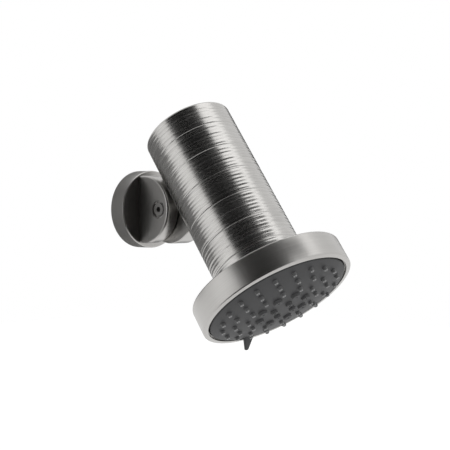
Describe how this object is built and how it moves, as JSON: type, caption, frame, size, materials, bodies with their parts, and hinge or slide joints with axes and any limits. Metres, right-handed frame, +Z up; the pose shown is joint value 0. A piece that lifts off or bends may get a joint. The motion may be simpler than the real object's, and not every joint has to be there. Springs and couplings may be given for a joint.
{
  "type": "shower head",
  "caption": "Wall-mounted shower head: a round rosette with a hinge, a ringed cylindrical body that tilts, and a wide ring with a domed spray face turned by a small lever.",
  "frame": {"origin": "centre of the rosette's back face, where the supply thread enters the wall", "axes": "+Y into the wall along the supply thread, +Z up, -Y out into the room, the hinge along X"},
  "size_m": [0.09, 0.1617, 0.1433],
  "materials": {
    "satin_metal": "satin",
    "brass": "machined",
    "strainer_steel": "plain",
    "rubber": "matte",
    "white_plastic": "moulded",
    "grey_face": "soft matte"
  },
  "bodies": {
    "wall": {"wall_bracket": "satin_metal", "inlet_nipple": "brass", "inlet_washer": "rubber", "inlet_strainer": "strainer_steel", "pivot_bolt": "satin_metal", "pivot_seals": "rubber", "pivot_nut": "satin_metal"},
    "head": {"head_knuckle": "satin_metal", "friction_washer": "white_plastic", "body_shell": "satin_metal", "water_core": "white_plastic", "core_nut": "brass", "flow_regulator": "white_plastic", "head_ring": "satin_metal", "distributor_plate": "white_plastic", "distributor_screws": "strainer_steel", "detent_spring": "strainer_steel"},
    "selector": {"spray_face": "grey_face", "jet_plate": "grey_face", "retaining_clip": "strainer_steel"}
  },
  "joints": [
    {"name": "head_tilt", "type": "hinge", "parent": "wall", "child": "head", "pos_m": [0, -0.028, 0], "axis": [1, 0, 0], "range_deg": [-5, 36]},
    {"name": "spray_select", "type": "hinge", "parent": "head", "child": "selector", "pos_m": [0, -0.05979, 0.02344], "axis": [0, 0.5934, 0.8049], "range_deg": [-45, 45]}
  ]
}
